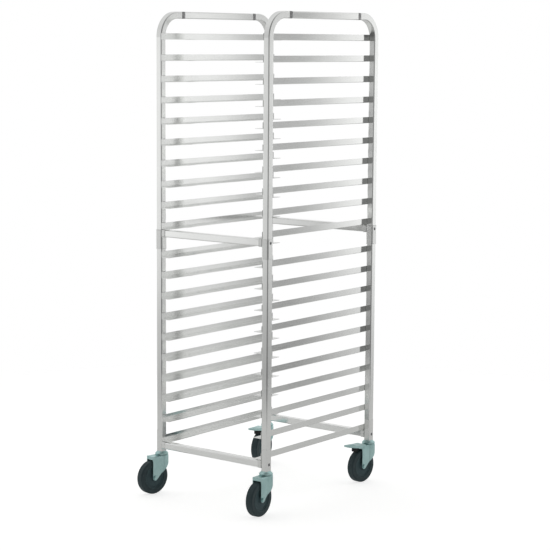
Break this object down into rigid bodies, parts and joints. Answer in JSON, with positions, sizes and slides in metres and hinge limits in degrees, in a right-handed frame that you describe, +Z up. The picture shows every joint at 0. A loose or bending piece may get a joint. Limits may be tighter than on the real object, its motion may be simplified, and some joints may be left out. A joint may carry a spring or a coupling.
{
  "type": "sheet pan rack",
  "caption": "Tall open rack of square aluminium tube with angle runners that carry full-size baking pans slid in from the front, on swivel casters with brakes at the rear.",
  "frame": {"origin": "on the floor, at the middle of the area the whole rack covers with its front casters trailing forward", "axes": "+Z up, +X to the right of someone facing the pan entry, +Y from the pan entry to the back"},
  "size_m": [0.5486, 0.7664, 1.767],
  "materials": {
    "frame_aluminium": "satin extruded aluminium",
    "zinc_plate": "bluish zinc-plated pressed steel",
    "screw_steel": "plain steel fastener",
    "wheel_core": "moulded dark core",
    "tyre_rubber": "smooth black rubber",
    "brake_rubber": "moulded rubber"
  },
  "bodies": {
    "frame": {"left_front_upper_post": "frame_aluminium", "left_front_lower_post": "frame_aluminium", "left_front_sleeve": "frame_aluminium", "left_front_caster_socket": "frame_aluminium", "right_front_upper_post": "frame_aluminium", "right_front_lower_post": "frame_aluminium", "right_front_sleeve": "frame_aluminium", "right_front_caster_socket": "frame_aluminium", "left_rear_upper_post": "frame_aluminium", "left_rear_lower_post": "frame_aluminium", "left_rear_sleeve": "frame_aluminium", "left_rear_caster_socket": "frame_aluminium", "right_rear_upper_post": "frame_aluminium", "right_rear_lower_post": "frame_aluminium", "right_rear_sleeve": "frame_aluminium", "right_rear_caster_socket": "frame_aluminium", "left_top_rail": "frame_aluminium", "right_top_rail": "frame_aluminium", "left_upper_runners": "frame_aluminium", "left_lower_runners": "frame_aluminium", "right_upper_runners": "frame_aluminium", "right_lower_runners": "frame_aluminium", "front_mid_crossbar": "frame_aluminium", "front_bottom_crossbar": "frame_aluminium", "rear_mid_crossbar": "frame_aluminium", "rear_bottom_crossbar": "frame_aluminium", "crossbar_end_sockets": "frame_aluminium", "frame_screws": "screw_steel", "kingpin_nuts": "screw_steel", "swivel_balls": "screw_steel", "front_left_caster_stem": "zinc_plate", "front_right_caster_stem": "zinc_plate", "rear_left_caster_stem": "zinc_plate", "rear_right_caster_stem": "zinc_plate"},
    "front_left_swivel": {"front_left_fork": "zinc_plate", "front_left_axle": "screw_steel", "front_left_axle_bush": "screw_steel"},
    "front_left_wheel": {"front_left_wheel_hub": "wheel_core", "front_left_tyre": "tyre_rubber"},
    "front_right_swivel": {"front_right_fork": "zinc_plate", "front_right_axle": "screw_steel", "front_right_axle_bush": "screw_steel"},
    "front_right_wheel": {"front_right_wheel_hub": "wheel_core", "front_right_tyre": "tyre_rubber"},
    "rear_left_swivel": {"rear_left_fork": "zinc_plate", "rear_left_axle": "screw_steel", "rear_left_axle_bush": "screw_steel", "rear_left_brake_pin": "screw_steel"},
    "rear_left_wheel": {"rear_left_wheel_hub": "wheel_core", "rear_left_tyre": "tyre_rubber"},
    "rear_left_brake": {"rear_left_brake_pedal": "zinc_plate", "rear_left_brake_shoe": "brake_rubber"},
    "rear_right_swivel": {"rear_right_fork": "zinc_plate", "rear_right_axle": "screw_steel", "rear_right_axle_bush": "screw_steel", "rear_right_brake_pin": "screw_steel"},
    "rear_right_wheel": {"rear_right_wheel_hub": "wheel_core", "rear_right_tyre": "tyre_rubber"},
    "rear_right_brake": {"rear_right_brake_pedal": "zinc_plate", "rear_right_brake_shoe": "brake_rubber"}
  },
  "joints": [
    {"name": "front_left_swivel_turn", "type": "hinge", "parent": "frame", "child": "front_left_swivel", "pos_m": [-0.2458, -0.2763, 0.143], "axis": [0, 0, 1], "continuous": true},
    {"name": "front_left_wheel_spin", "type": "hinge", "parent": "front_left_swivel", "child": "front_left_wheel", "pos_m": [-0.25344, -0.31963, 0.0625], "axis": [0.9848, -0.1736, 0], "continuous": true},
    {"name": "front_right_swivel_turn", "type": "hinge", "parent": "frame", "child": "front_right_swivel", "pos_m": [0.2458, -0.2763, 0.143], "axis": [0, 0, 1], "continuous": true},
    {"name": "front_right_wheel_spin", "type": "hinge", "parent": "front_right_swivel", "child": "front_right_wheel", "pos_m": [0.2481, -0.32024, 0.0625], "axis": [0.9986, 0.0523, 0], "continuous": true},
    {"name": "rear_left_swivel_turn", "type": "hinge", "parent": "frame", "child": "rear_left_swivel", "pos_m": [-0.2458, 0.3583, 0.143], "axis": [0, 0, 1], "continuous": true},
    {"name": "rear_left_wheel_spin", "type": "hinge", "parent": "rear_left_swivel", "child": "rear_left_wheel", "pos_m": [-0.23968, 0.31473, 0.0625], "axis": [0.9903, 0.1392, 0], "continuous": true},
    {"name": "rear_left_brake_press", "type": "hinge", "parent": "rear_left_swivel", "child": "rear_left_brake", "pos_m": [-0.2394, 0.31275, 0.1347], "axis": [0.9903, 0.1392, 0], "range_deg": [0, 12]},
    {"name": "rear_right_swivel_turn", "type": "hinge", "parent": "frame", "child": "rear_right_swivel", "pos_m": [0.2458, 0.3583, 0.143], "axis": [0, 0, 1], "continuous": true},
    {"name": "rear_right_wheel_spin", "type": "hinge", "parent": "rear_right_swivel", "child": "rear_right_wheel", "pos_m": [0.2412, 0.31454, 0.0625], "axis": [0.9945, -0.1045, 0], "continuous": true},
    {"name": "rear_right_brake_press", "type": "hinge", "parent": "rear_right_swivel", "child": "rear_right_brake", "pos_m": [0.24099, 0.31255, 0.1347], "axis": [0.9945, -0.1045, 0], "range_deg": [0, 12]}
  ]
}
